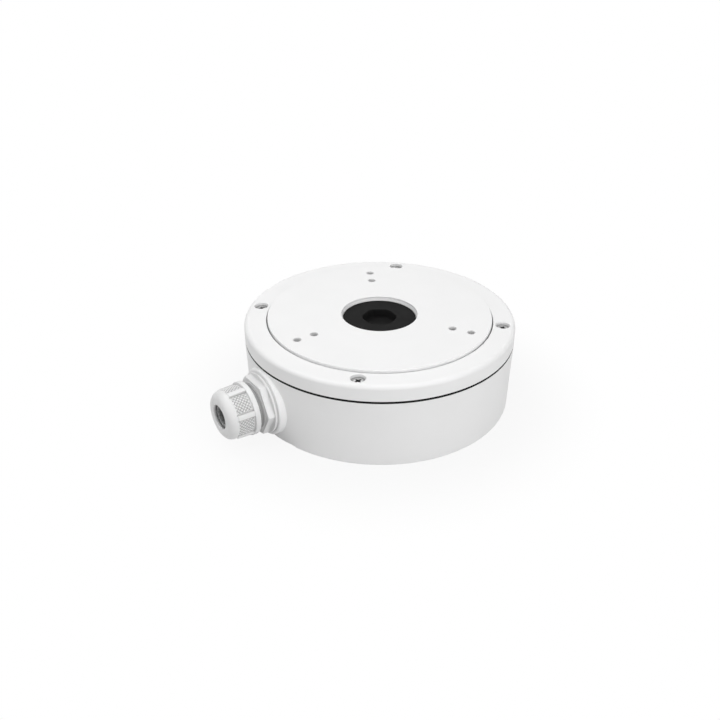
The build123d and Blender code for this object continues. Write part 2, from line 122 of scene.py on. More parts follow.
EARTH_TOP = 8.0
ENTRY_BOSS = 19.0  # closed cable entry in the floor: boss, recess for the plug's head, thread
ENTRY_TOP = 13.0
ENTRY_RECESS = 15.8
ENTRY_SEAT = 4.0
ENTRY_THREAD = 12.55
HOLE_WINDOW = 5  # columns on each side of a hole's middle that its window takes
BOSS_WINDOW = 18

# Gland: distances run outward from the box's axis
GLAND_ANGLE = 215
BOSS = 19.2
BOSS_BACK = 72.0
BOSS_FACE = 80.0
BORE = 12.75
SHANK_END = 65.0
GLAND_SHANK = 12.5
GLAND_WAY = 9.0
WASHER_END = 80.6
COLLAR = 17.5
COLLAR_END = 81.7
ACROSS_FLATS = 29.5
HEX_BEVEL = 16.15  # radius of the bevel's cone at the hexagon's front
HEX_END = 85.5
NECK_END = 97.5
NECK = 13.2
PITCH = 1.5
THREAD_DEPTH = 0.55
CAGE_SEAT = 11.95
CAGE_FOOT = 90.0
NUT_START = 89.0
BARREL_START = 92.0
BARREL_END = 102.3
NUT_END = 106.5
BARREL = 14.1
RING = 15.35
NOSE = 13.85
NOSE_ROUND = 4.2
VALLEY = 13.45
MOUTH = 6.9
MOUTH_ROUND = 0.5
NUT_BORE = 13.25
CONE_START = 98.1
BAR_ANGLE = 18
BAR_RISE = 0.75
BAR_FALL = 0.35  # lost from the rear of a bar to its front
KNURL_TURNS = 42
KNURL_CLIMB = 2.0
KNURL_RELIEF = 0.6

X, Y, Z = np.eye(3)
outward = np.array([math.cos(math.radians(GLAND_ANGLE)), math.sin(math.radians(GLAND_ANGLE)), 0])
level = np.cross(Z, outward)
BOX_AXIS = (np.zeros(3), X, Y, Z)
GLAND_AXIS = (gland_height * Z, level, Z, outward)


# Surfaces


def about(axis, radius, distance, angle):
    """Points at a radius and an angle about an axis, and at a distance along it."""
    origin, first, second, along = axis
    radius, distance, angle = np.broadcast_arrays(radius, distance, angle)
    flat = (radius * np.cos(angle))[..., None] * first + (radius * np.sin(angle))[..., None] * second
    return origin + flat + distance[..., None] * along


def all_round(columns):
    """Row of angles evenly spread over a full turn."""
    return (np.arange(columns) * TURN / columns)[None]


def upright(angle, circle):
    """Upright axis on a circle about the box's axis, its first direction facing outward."""
    turn = math.radians(angle)
    out = np.array([math.cos(turn), math.sin(turn), 0])
    return (circle * out, out, np.cross(Z, out), Z)


def cells(rows, columns, ring=True, loop=False, skip=None):
    """Four-cornered faces of a grid of points numbered row by row. ring joins each row's end to
    its start, loop joins the last row to the first, and skip marks the cells that are left out."""
    i, j = np.meshgrid(
        np.arange(rows if loop else rows - 1), np.arange(columns if ring else columns - 1), indexing="ij"
    )
    up, along = (i + 1) % rows, (j + 1) % columns
    faces = np.stack([i * columns + j, i * columns + along, up * columns + along, up * columns + j], -1)
    if skip is not None:
        faces = faces[~skip[: faces.shape[0], : faces.shape[1]]]
    return faces.reshape(-1, 4)


def smooth(t):
    """Smooth step: 0 below 0, 1 above 1 and 3t^2 - 2t^3 between."""
    t = np.clip(t, 0, 1)
    return t * t * (3 - 2 * t)


def patch(points, ring=True, loop=False, skip=None):
    """A grid of points with its faces."""
    return points, cells(points.shape[0], points.shape[1], ring, loop, skip)


def rounded(outline, closed=True, steps=6, beside=0.06):
    """Outline of (x, y, radius) corners with an arc in every corner that has a radius. An arc
    touches its two sides at radius / tan(half the corner's angle) from the corner, and its centre
    lies on the bisector at radius / sin(half the angle). A point stands beside each end of an arc,
    which keeps the flat sides flat in their shading."""
    places = np.array([corner[:2] for corner in outline], float)
    out = []
    for i, (x, y, radius) in enumerate(outline):
        here = places[i]
        if radius == 0:
            out.append(here[None])
            continue
        back = places[i - 1] - here
        on = places[(i + 1) % len(places)] - here
        back, on = back / np.linalg.norm(back), on / np.linalg.norm(on)
        half = math.acos(float(np.clip(back @ on, -1, 1))) / 2
        reach = radius / math.tan(half)
        centre = here + (back + on) / np.linalg.norm(back + on) * radius / math.sin(half)
        first, last = here + back * reach - centre, here + on * reach - centre
        sweep = math.pi - 2 * half
        t = np.linspace(0, 1, steps + 1)[:, None]
        arc = centre + (np.sin((1 - t) * sweep) * first + np.sin(t * sweep) * last) / math.sin(sweep)
        out += [arc[:1] + back * beside, arc, arc[-1:] + on * beside]
    return np.concatenate(out)


def along_line(start, end, count):
    """Corners with no rounding, evenly spread over a straight line, both ends left out."""
    t = np.linspace(0, 1, count + 2)[1:-1]
    return [(start[0] + s * (end[0] - start[0]), start[1] + s * (end[1] - start[1]), 0) for s in t]


def turned(profile, axis, columns=COLUMNS, loop=True):
    """Patch of a profile of (radius, distance) points turned about an axis."""
    return patch(about(axis, profile[:, :1], profile[:, 1:], all_round(columns)), loop=loop)


def stacked(parts, columns):
    """Radius and distance of turned parts, one after another. A part is an outline that is the
    same all round, or a pair of a radius that changes with the angle and its distances."""
    pairs = [part if isinstance(part, tuple) else (part[:, :1], part[:, 1:]) for part in parts]
    radius = np.concatenate([np.broadcast_to(r, (len(along), columns)) for r, along in pairs])
    return radius, np.concatenate([along for _, along in pairs])


def capped(points):
    """Closed patch of sections along a path, each section a ring of points. A flat cap runs from
    the first and from the last ring to the ring's middle."""
    middle = np.broadcast_to(points.mean(1, keepdims=True), points.shape)
    return patch(np.concatenate([middle[:1], points, middle[-1:]]))


def border(points, rows, columns):
    """Loop of grid points round a window: along its first row, then its last column, back along
    its last row and down its first column."""
    c = np.asarray(columns) % points.shape[1]
    rows = np.asarray(rows)
    sides = [points[rows[0], c[:-1]], points[rows[:-1], c[-1]], points[rows[-1], c[:0:-1]]]
    return np.concatenate(sides + [points[rows[:0:-1], c[0]]])


def around(angle, reach):
    """Columns on both sides of the one at an angle in degrees."""
    return np.arange(angle - reach, angle + reach + 1)


def window(points, skip, rows, columns):
    """Border of a window in a grid, whose cells are marked as left out."""
    first, last = min(rows[0], rows[-1]), max(rows[0], rows[-1])
    skip[first:last, np.asarray(columns[:-1]) % skip.shape[1]] = True
    return border(points, rows, columns)


def nearest(profile, radius, height):
    """Number of the profile's point nearest to a place."""
    return int(np.argmin(np.hypot(profile[:, 0] - radius, profile[:, 1] - height)))


def between(start, end, count):
    """Rows of points on straight lines from one ring to another, the end left out."""
    t = np.linspace(0, 1, count + 1)[:-1, None, None]
    return start + t * (end - start)


def sunk(ring, centre, radius, height, far_ring=None):
    """Patch from a window's border to a round hole in a level plate and down the hole's own
    profile, where each border point keeps its direction from the hole's centre. It ends in the
    hole's floor, or goes on to the border of the window on the far side."""
    offset = ring[:, :2] - centre[:2]
    angle = np.arctan2(offset[:, 1], offset[:, 0])
    axis = (centre * (X + Y), X, Y, Z)
    inside = about(axis, radius, height, angle[None])
    rows = [between(ring, inside[0], 3), inside]
    if far_ring is not None:
        rows.append(between(inside[-1], far_ring, 3)[1:])
        rows.append(far_ring[None])
    return patch(np.concatenate(rows))


def make_piece(name, patches, finish, body, nodes, crease=34, painted_shade=None):
    """Mesh object of several patches in millimetres: welded where they meet, with faces outward,
    smooth apart from edges that turn by more than the crease angle. The last argument, if there is
    one, says from 0 to 1 how much painted shade each point takes, for the finish to read."""
    starts = np.cumsum([0] + [points.size // 3 for points, faces in patches[:-1]])
    points = np.concatenate([points.reshape(-1, 3) for points, faces in patches]) * MM
    faces = np.concatenate([faces + start for (_, faces), start in zip(patches, starts)])
    mesh = bpy.data.meshes.new(name)
    mesh.from_pydata(points.tolist(), [], faces.tolist())
    if painted_shade is not None:
        mesh.attributes.new("painted_shade", "FLOAT", "POINT").data.foreach_set("value", painted_shade.ravel())
    form = bmesh.new()
    form.from_mesh(mesh)
    bmesh.ops.remove_doubles(form, verts=form.verts, dist=0.002 * MM)
    bmesh.ops.dissolve_degenerate(form, edges=form.edges, dist=0.001 * MM)
    bmesh.ops.recalc_face_normals(form, faces=form.faces)
    form.to_mesh(mesh)
    form.free()
    mesh.polygons.foreach_set("use_smooth", np.ones(len(mesh.polygons), bool))
    mesh.set_sharp_from_angle(angle=math.radians(crease))
    mesh.materials.append(finish)
    piece = bpy.data.objects.new(name, mesh)
    bpy.context.scene.collection.objects.link(piece)
    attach(piece, body)
    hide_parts(*nodes)
    return piece


# Finishes


class Value:
    """A number in a material. Arithmetic on it adds Math nodes."""

    def __init__(self, finish, socket):
        self.finish = finish
        self.socket = socket

    def math(self, operation, *others):
        """Math node of this value and others, in that order."""
        return self.finish.node("ShaderNodeMath", {"operation": operation}, self, *others)

    def __add__(self, other):
        return self.math("ADD", other)

    __radd__ = __add__

    def __mul__(self, other):
        return self.math("MULTIPLY", other)

    __rmul__ = __mul__

    def __sub__(self, other):
        return self.math("SUBTRACT", other)

    def __rsub__(self, other):
        return self.finish.node("ShaderNodeMath", {"operation": "SUBTRACT"}, other, self)

    def __truediv__(self, other):
        return self.math("DIVIDE", other)

    def within(self, low, high):
        """0 at low, 1 at high and smooth between."""
        return self.finish.node(
            "ShaderNodeMapRange", {"interpolation_type": "SMOOTHSTEP"}, self, low, high, 0.0, 1.0
        )


class Finish:
    """A material with its surface shader, built from nodes."""

    def __init__(self, name, **constants):
        self.material = bpy.data.materials.new(name)
        self.material.use_nodes = True
        self.tree = self.material.node_tree
        self.shader = self.tree.nodes["Principled BSDF"]
        for socket, value in constants.items():
            self.shader.inputs[socket.replace("_", " ")].default_value = value
        self.place = self.node("ShaderNodeTexCoord", output="Object")

    def node(self, kind, settings=None, *values, output=0, **named):
        """Add a node: its settings first, then values or links for its sockets."""
        made = self.tree.nodes.new(kind)
        for key, value in (settings or {}).items():
            setattr(made, key, value)
        sockets = dict(enumerate(values)) | {key.replace("_", " "): value for key, value in named.items()}
        for key, value in sockets.items():
            self.link(value, made.inputs[key])
        return Value(self, made.outputs[output])

    def link(self, value, socket):
        """Give a socket a value or another node's output."""
        if isinstance(value, Value):
            self.tree.links.new(value.socket, socket)
        else:
            socket.default_value = value

    def grain(self, size, detail=2.0, roughness=0.5):
        """Noise from 0 to 1 whose lumps are about size millimetres wide."""
        scale = 1 / (size * MM)
        return self.node(
            "ShaderNodeTexNoise", None, Vector=self.place, Scale=scale, Detail=detail, Roughness=roughness
        )

    def blend(self, share, first, second):
        """Colour between two colours by a share from 0 to 1."""
        made = self.tree.nodes.new("ShaderNodeMix")
        made.data_type = "RGBA"
        self.link(share, made.inputs["Factor"])
        for socket, value in zip([s for s in made.inputs if s.type == "RGBA"], (first, second)):
            self.link(value, socket)
        return Value(self, next(s for s in made.outputs if s.type == "RGBA"))

    def painted_shade(self):
        """How much painted shade a point takes, from 0 to 1, as its piece says."""
        return self.node("ShaderNodeAttribute", {"attribute_name": "painted_shade"}, output="Fac")

    def bump(self, height, depth):
        """Relief whose height of 1 is depth millimetres."""
        return self.node("ShaderNodeBump", None, Strength=1.0, Distance=depth * MM, Height=height)

    def wire(self, **sockets):
        """Link values to the shader's sockets, and give the material back."""
        for key, value in sockets.items():
            self.link(value, self.shader.inputs[key.replace("_", " ")])
        return self.material


def grey(level):
    """Colour with equal parts of red, green and blue."""
    return (level, level, level, 1.0)


def powder_coat():
    """White powder coat: even satin white with the faint orange peel of a baked coat. Painted shade
    darkens the groove round the disc and the screw wells, and the tapped holes show bare metal. One
    mask serves every hole of a circle, because the angle is first folded to one hole's share of a turn."""
    coat = Finish("white_powder_coat", IOR=1.45)
    peel = coat.grain(1.1, detail=1.0) * 0.7 + coat.grain(0.35, detail=1.0) * 0.3
    cloud = coat.grain(28.0)
    x, y, z = (coat.node("ShaderNodeSeparateXYZ", None, coat.place, output=axis) / MM for axis in "XYZ")
    reach = (x * x + y * y).math("SQRT")
    above_cup = z.within(40, 41)

    def off(angles, circle):
        """Distance from the nearest hole's centre, for holes at these angles on a circle."""
        share = TURN / len(angles)
        turn = y.math("ARCTAN2", x) - (math.radians(angles[0]) - share / 2)
        turn = turn.math("FLOORED_MODULO", share) - share / 2
        along, across = reach * turn.math("COSINE") - circle, reach * turn.math("SINE")
        return (along * along + across * across).math("SQRT")

    # painted shade: the lower part of the groove round the disc is darkened to grey 0.2
    groove = reach.within(DISC - 0.1, DISC + 0.1) - reach.within(DISC + GROOVE, DISC + GROOVE + 0.2)
    groove_shade_band = z.within(plate_under + 0.3, plate_under + 0.8) - z.within(ring_top - 1.1, ring_top - 0.4)
    bare = sum(1 - off(CAMERA_ANGLES, circle).within(2.4, 2.48) for circle in CAMERA_CIRCLES)
    under_disc = above_cup - z.within(disc_top - 0.12, disc_top - 0.02)
    # painted shade: each screw well is darkened to grey 0.32 from below the heads' tops down
    well = 1 - off(SCREW_ANGLES, SCREW_CIRCLE).within(COUNTERBORE + 0.05, COUNTERBORE + 0.2)
    well_shade_band = above_cup - z.within(head_top - 0.9, head_top + 0.4)
    painted = coat.blend(cloud.within(0.35, 0.65), grey(0.85), grey(0.86))
    drilled = coat.blend(bare * under_disc, painted, grey(0.7))
    shaded = coat.blend(well * well_shade_band, drilled, grey(0.32))
    return coat.wire(
        Base_Color=coat.blend(groove * groove_shade_band, shaded, grey(0.2)),
        Roughness=0.40 + 0.08 * peel,
        Normal=coat.bump(peel, 0.012),
    )


def white_nylon():
    """Moulded white nylon: satin, a little glossier than the castings, with a fine mould grain and
    painted shade in the hollows that its pieces mark."""
    nylon = Finish("white_nylon", IOR=1.5)
    grain = nylon.grain(0.25, detail=2.0)
    white = nylon.blend(nylon.grain(9.0).within(0.3, 0.7), grey(0.76), grey(0.78))
    return nylon.wire(
        # painted shade: points that the piece marks as hollow are darkened toward grey 0.31
        Base_Color=nylon.blend(nylon.painted_shade(), white, grey(0.31)),
        Roughness=0.36 + 0.08 * grain,
        Normal=nylon.bump(grain, 0.006),
    )


def rubber_finish(name, dark, light, roughness):
    """Moulded rubber: dull, with a fine speckle and a little bloom in patches."""
    rubber = Finish(name, Specular_IOR_Level=0.1)
    speckle = rubber.grain(0.18, detail=3.0)
    bloom = rubber.grain(6.0, detail=3.0)
    return rubber.wire(
        Base_Color=rubber.blend(bloom.within(0.35, 0.7), dark, light),
        Roughness=roughness + 0.1 * speckle,
        Normal=rubber.bump(speckle, 0.01),
    )


def seal_rubber():
    """Streaked grey seal rubber, with painted shade that makes it dark further in from its mouth."""
    seal = Finish("seal_rubber", Specular_IOR_Level=0.2, Roughness=0.5)
    product = {"operation": "DOT_PRODUCT"}
    distance = seal.node("ShaderNodeVectorMath", product, seal.place, tuple(outward), output="Value") / MM
    streaked = seal.blend(seal.grain(0.9).within(0.4, 0.6), grey(0.22), grey(0.38))
    # painted shade: grey 0.04 deeper in than about 101 mm along the gland's axis, streaked grey near the
    # mouth
    return seal.wire(Base_Color=seal.blend(distance.within(101.0, 103.6), grey(0.04), streaked))


def screw_steel():
    """Bright stainless steel with fine marks from heading and handling, and painted shade in its hollows."""
    steel = Finish("stainless_steel", Metallic=1.0)
    marks = steel.grain(0.12, detail=4.0, roughness=0.7)
    tarnish = steel.grain(2.5, detail=2.0)
    bright = steel.blend(tarnish.within(0.3, 0.7), grey(0.45), grey(0.52))
    return steel.wire(
        # painted shade: the cross recess and the head's edge are darkened toward grey 0.1
        Base_Color=steel.blend(steel.painted_shade(), bright, grey(0.1)),
        Roughness=0.26 + 0.14 * marks,
        Normal=steel.bump(marks, 0.004),
    )


COAT = powder_coat()
NYLON = white_nylon()
RUBBER = rubber_finish("black_rubber", grey(0.007), grey(0.010), 0.75)
GASKET = rubber_finish("gasket_rubber", grey(0.012), grey(0.016), 0.7)
WASHER = rubber_finish("washer_rubber", grey(0.6), grey(0.66), 0.6)
SEAL = seal_rubber()
STEEL = screw_steel()


# Castings


def thread(radius, depth, pitch, distance, angle):
    """Radius of a screw thread: a triangular wave of one pitch along the axis that moves on by one
    pitch in a full turn. The stated radius is its widest, and its narrowest is less by the depth."""
    wave = np.abs((distance / pitch - angle / TURN) % 1 * 2 - 1)
    return radius - depth * np.clip(1.5 * wave - 0.25, 0, 1)


def camera_hole(points, profile, skip, angle, circle):
    """Tapped hole for the camera: chamfered mouth, threaded wall and a drill's cone below."""
    rows = np.arange(nearest(profile, circle - 4, disc_top), nearest(profile, circle + 4, disc_top) + 1)
    ring = window(points, skip, rows, around(angle, HOLE_WINDOW))
    centre = upright(angle, circle)[0]
    toward = np.arctan2(ring[:, 1] - centre[1], ring[:, 0] - centre[0])[None]
    height = np.concatenate([disc_top - 0.2 - np.arange(0, 5.9, 0.16), [drill_shoulder, drill_tip]])[:, None]
    wall = thread(CAMERA_HOLE + CAMERA_THREAD, CAMERA_THREAD, 0.7, height, toward)
    wall[-2:] = CAMERA_HOLE
    wall[-1:] = 0
    mouth = np.array([[2.6, 0], [2.54, 0], [2.44, 0.03], [CAMERA_HOLE + CAMERA_THREAD, 0.12]])
    radius = np.concatenate([np.broadcast_to(mouth[:, :1], (len(mouth), len(ring))), wall])
    depth = np.concatenate([disc_top - mouth[:, 1:], height])
    return sunk(ring, centre, radius, depth)


def screw_well(points, profile, skip, angle):
    """Counterbore for a cover screw: soft painted edge, straight wall and flat seat."""
    rows = np.arange(nearest(profile, 66.5, ring_top), nearest(profile, 75.9, ring_top) + 1)
    ring = window(points, skip, rows, around(angle, HOLE_WINDOW))
    edge = [(COUNTERBORE + 0.65, ring_top, 0), (COUNTERBORE, ring_top, 0.55)]
    well = rounded(edge + [(COUNTERBORE, head_seat, 0.3), (0, head_seat, 0)], closed=False)
    return sunk(ring, upright(angle, SCREW_CIRCLE)[0], well[:, :1], well[:, 1:])


def lip_section(angle, start, end):
    """Sections of the cover's locating lip: a rectangle with softened lower corners, whose foot
    rises over the gland's boss like a circle about the gland's axis."""
    across = 74.0 * np.sin(np.radians(angle - GLAND_ANGLE))
    over_boss = gland_height + np.sqrt(np.maximum((BOSS + 0.6) ** 2 - across**2, 0))
    facing = np.cos(np.radians(angle - GLAND_ANGLE)) > 0
    foot = np.where(facing, np.maximum(lip_foot, over_boss), lip_foot)[:, None]
    radius = np.array([start, start + 0.3, end - 0.3, end, end, start])[None]
    rise = np.array([0.3, 0, 0, 0.3, 0, 0])[None]
    height = np.where(np.arange(6)[None] < 4, foot + rise, cover_foot + 1.0)
    return about(BOX_AXIS, radius, height, np.radians(angle)[:, None])


def bar_under_cover(angle, start, end):
    """Radial rib under the cover: a rounded rectangle carried outward along a radius."""
    foot = plate_under - RIB
    section = [(-1.0, foot, 0.3), (1.0, foot, 0.3), (1.0, into_plate, 0), (-1.0, into_plate, 0)]
    section = rounded(section, steps=3)
    out, side = upright(angle, 1.0)[1:3]
    reach = np.array([start, end])[:, None, None]
    return capped(reach * out + section[None, :, :1] * side + section[None, :, 1:] * Z)


def make_cover():
    """Cover: one closed profile turned about the box's axis, with windows for the camera's holes
    and the counterbores, and the lip, ribs and bosses on its underside as forms of their own."""
    flat = [(r, disc_top, 0) for r in (24, 28, 34, 41, 43, 45, 47, 49, 52, 54, 56, 58, 60, 62.5, 64.4)]
    ring = [(r, ring_top, 0) for r in (66.5, 68, 69.2, 70.5, 72, 73.5, 75, 75.9)]
    profile = rounded(
        [(CENTRE, disc_top, 0.5), *flat, (DISC, disc_top, 0.3), (DISC, groove_foot, 0.15)]
        + [(DISC + GROOVE, groove_foot, 0.15), (DISC + GROOVE, ring_top, 0.3), *ring]
        + [(rim, ring_top, 2.5), (rim, cover_foot, 0.1), (LIP, cover_foot, 0), (LIP, plate_under, 1.5)]
        + [(HUB, plate_under, 1.5), (HUB, ledge_under, 0.4), (LEDGE, ledge_under, 0.3)]
        + [(LEDGE, ledge_top, 0.3), (CENTRE_FOOT, ledge_top, 0), (CENTRE_FOOT, rubber_face, 0)]
        + [(CENTRE, disc_top - 1.2, 0.5)],
        steps=8,
    )
    points, _ = turned(profile, BOX_AXIS)
    skip = np.zeros(points.shape[:2], bool)
    holes = [camera_hole(points, profile, skip, a, c) for a in CAMERA_ANGLES for c in CAMERA_CIRCLES]
    holes += [screw_well(points, profile, skip, angle) for angle in SCREW_ANGLES]
    under = []
    for angle in range(95, 455, 30):
        breaks = (41.5, 48.5, 52.5, 59.5) if angle % 360 in CAMERA_ANGLES else ()  # for the camera's holes
        ends = (HUB - 1, *breaks, wall_inside - 1.5)
        under += [bar_under_cover(angle, start, end) for start, end in zip(ends[::2], ends[1::2])]
    for first, last in ((84.3, 165.7), (174.3, 255.7), (264.3, 345.7), (354.3, 435.7)):
        under.append(capped(lip_section(np.linspace(first, last, 90), LIP, wall_inside - 0.4)))
    low, floor = drill_tip - 1.1, drill_tip - 0.2
    boss = rounded([(0, low, 0), (CAMERA_BOSS, low, 0.4), (CAMERA_BOSS, into_plate, 0), (2.6, into_plate, 0),
                    (2.6, floor, 0), (0, floor, 0)], False)
    under += [turned(boss, upright(a, c), 48, False) for a in CAMERA_ANGLES for c in CAMERA_CIRCLES]
    post = rounded([(SHANK_HOLE, cover_foot, 0), (COVER_BOSS, cover_foot, 0.3), (COVER_BOSS, into_plate, 0),
                    (SHANK_HOLE, into_plate, 0)])
    under += [turned(post, upright(a, SCREW_CIRCLE), 48) for a in SCREW_ANGLES]
    return make_piece("junction_cover", [patch(points, loop=True, skip=skip), *holes, *under], COAT,
                      "housing", ["cover"])


def gland_boss(ring, wall, far_ring, far_wall):
    """Gland boss on the cup's wall. In the plane across the gland's axis every border point keeps
    its direction. The wall's distance outward is the root of (its radius squared - offset squared).
    Near the boss a quarter-round fillet lifts it, then come the boss's side, its rounded edge, its
    face and the bore back to the window in the inner wall."""

    def spread(loop):
        side, up = loop @ level, loop[:, 2] - gland_height
        return np.hypot(side, up), np.arctan2(up, side)

    def on_wall(radius, angle, profile):
        height = gland_height + radius * np.sin(angle)
        return np.sqrt(np.interp(height, profile[:, 1], profile[:, 0]) ** 2 - (radius * np.cos(angle)) ** 2)

    reach, angle = spread(ring)
    fillet = np.minimum(0.35, 0.92 * (reach - BOSS))
    approach = reach + np.linspace(0, 1, 7)[:, None] * (BOSS + fillet - reach)
    u = 1 - np.sin(np.linspace(0, math.pi / 2, 11))[1:, None]
    radius = np.concatenate([approach, BOSS + u * fillet])
    share = np.concatenate([np.ones((7, 1)), u])
    distance = on_wall(radius, angle, wall) + fillet * (1 - np.sqrt(1 - (1 - share) ** 2))
    rise = np.linspace(0, 1, 4)[1:, None]
    side_end = BOSS_FACE - 1.06
    side = distance[-1:] + rise * (side_end - distance[-1:])
    face = rounded([(BOSS, side_end, 0), (BOSS, BOSS_FACE, 1.0), (BORE, BOSS_FACE, 0.4),
                    (BORE, BOSS_FACE - 1.5, 0)], closed=False, steps=8)[2:]
    flat = (len(face), len(ring))
    radius = np.concatenate([radius, np.full_like(side, BOSS), np.broadcast_to(face[:, :1], flat)])
    distance = np.concatenate([distance, side, np.broadcast_to(face[:, 1:], flat)])
    outside = about(GLAND_AXIS, radius, distance, angle)
    far_reach, far_angle = spread(far_ring)
    t = np.linspace(0, 1, 5)[:, None]
    far_radius = BORE + t * (far_reach - BORE)
    inside = about(GLAND_AXIS, far_radius, on_wall(far_radius, far_angle, far_wall), far_angle)
    return patch(np.concatenate([outside, inside]))


def make_cup():
    """Cup: one closed profile turned about the box's axis, with windows for the wall holes and for
    the gland's boss, and the posts, pads and inner bosses as forms of their own."""
    inner_foot = wall_inside - 1.1
    outer = along_line((foot_radius, 0), (rim, cup_top), 39)[1:-1]
    inner = along_line((wall_inside - 0.02, cup_top - 0.4), (inner_foot + 0.07, FLOOR + 2.4), len(outer) + 10)
    band = (52.0, 53.5, 55.0, 56.5, 58.0)
    profile = rounded(
        [(ENTRY_RECESS, 0, 0.4), *[(r, 0, 0) for r in (30, 42, 50.5, *band, 59.5, 66, 72)]]
        + [(foot_radius, 0, FOOT_ROUND), *outer, (rim, cup_top, 0.08)]
        + [(wall_inside, cup_top, 0.2), *inner, (inner_foot, FLOOR, 2.0), (66, FLOOR, 0), (59.5, FLOOR, 0)]
        + [(r, FLOOR, 0) for r in band[::-1]]
        + [(50.5, FLOOR, 0), (36, FLOOR, 0), (ENTRY_BOSS, FLOOR, 1.0), (ENTRY_BOSS, ENTRY_TOP, 0.6)]
        + [(ENTRY_THREAD, ENTRY_TOP, 0.4), (ENTRY_THREAD, ENTRY_SEAT, 0), (ENTRY_RECESS, ENTRY_SEAT, 0)],
        steps=8,
    )
    points, _ = turned(profile, BOX_AXIS)
    skip = np.zeros(points.shape[:2], bool)
    holes = []
    for angle in WALL_HOLE_ANGLES:
        columns = around(angle, HOLE_WINDOW)
        near = np.arange(nearest(profile, 50.5, 0), nearest(profile, 59.5, 0) + 1)
        far = np.arange(nearest(profile, 50.5, FLOOR), nearest(profile, 59.5, FLOOR) - 1, -1)
        wall = rounded([(WALL_HOLE + 0.4, 0, 0), (WALL_HOLE, 0, 0.25), (WALL_HOLE, FLOOR, 0)], closed=False)
        ring, far_ring = (window(points, skip, rows, columns) for rows in (near, far))
        holes.append(sunk(ring, upright(angle, WALL_HOLE_CIRCLE)[0], wall[:, :1], wall[:, 1:], far_ring))
    near = np.arange(nearest(profile, foot_radius - FOOT_ROUND, 0), nearest(profile, *outer[-1][:2]) + 1)
    far = np.arange(nearest(profile, *inner[-1][:2]), nearest(profile, *inner[0][:2]) - 1, -1)
    columns = around(GLAND_ANGLE, BOSS_WINDOW)
    ring, far_ring = (window(points, skip, rows, columns) for rows in (near, far))
    holes.append(gland_boss(ring, profile[near], far_ring, profile[far]))
    pilot = screws_low[2] - 3.0
    post_top = cup_top - 0.01
    post = rounded([(0, UNDER_FLOOR, 0), (POST, UNDER_FLOOR, 0), (POST, post_top, 0),
                    (TAPPED_HOLE, post_top, 0), (TAPPED_HOLE, pilot, 0), (0, pilot, 0)], False)
    inside = [turned(post, upright(a, SCREW_CIRCLE), 48, False) for a in SCREW_ANGLES]
    hole, top = 2.8, FLOOR + 1
    pad = rounded([(hole, UNDER_FLOOR, 0), (WALL_PAD, UNDER_FLOOR, 0), (WALL_PAD, top, 0.3), (hole, top, 0)])
    inside += [turned(pad, upright(a, WALL_HOLE_CIRCLE), 48) for a in WALL_HOLE_ANGLES]
    earth = rounded([(0, UNDER_FLOOR, 0), (EARTH_BOSS, UNDER_FLOOR, 0), (EARTH_BOSS, EARTH_TOP, 0.3),
                     (TAPPED_HOLE, EARTH_TOP, 0), (TAPPED_HOLE, FLOOR, 0), (0, FLOOR, 0)], False)
    inside.append(turned(earth, upright(EARTH_ANGLE, EARTH_CIRCLE), 48, False))
    bore, side = BORE + 0.02, BOSS - 0.05  # just clear of the boss's own faces
    sleeve = rounded([(bore, BOSS_BACK, 0.3), (side, BOSS_BACK, 0.5), (side, 76.0, 0), (bore, 76.0, 0)])
    inside.append(turned(sleeve, GLAND_AXIS, 144))
    return make_piece("junction_cup", [patch(points, loop=True, skip=skip), *holes, *inside], COAT,
                      "housing", ["base_housing"])


# Rubber pieces


def make_gasket():
    """Cover gasket: flat ring with an eye over each screw post."""
    low, high = gasket_low[2], gasket_high[2]
    inner, outer = 75.5, gasket_high[0] - SKIN
    section = [(inner, low, 0), (outer, low, 0.1), (outer, high, 0.1), (inner, high, 0)]
    ring = rounded(section, steps=3, beside=0.02)
    eye = rounded([(SHANK_HOLE, low, 0), (POST, low, 0), (POST, high, 0), (SHANK_HOLE, high, 0)])
    eyes = [turned(eye, upright(angle, SCREW_CIRCLE), 40) for angle in SCREW_ANGLES]
    return make_piece("cover_seal_ring", [turned(ring, BOX_AXIS), *eyes], GASKET,
                      "housing", ["cover_gasket"])


def soft_hexagon(angle, across, corner):
    """Radius of a hexagon with rounded corners, two of them on the X axis. Along a flat it is
    half the width over the flats / cos(angle from the flat's middle), and round a corner it is the
    far crossing with the corner's circle."""
    half = across / 2
    turn = (angle + TURN / 12) % (TURN / 6) - TURN / 12  # from the nearest corner
    from_flat = TURN / 12 - np.abs(turn)
    reach = (half - corner) / math.cos(TURN / 12)
    tangent = math.atan2((half - corner) * math.tan(TURN / 12), half)
    inside = np.maximum(corner**2 - (reach * np.sin(turn)) ** 2, 0)
    return np.where(from_flat < tangent, half / np.cos(from_flat), reach * np.cos(turn) + np.sqrt(inside))


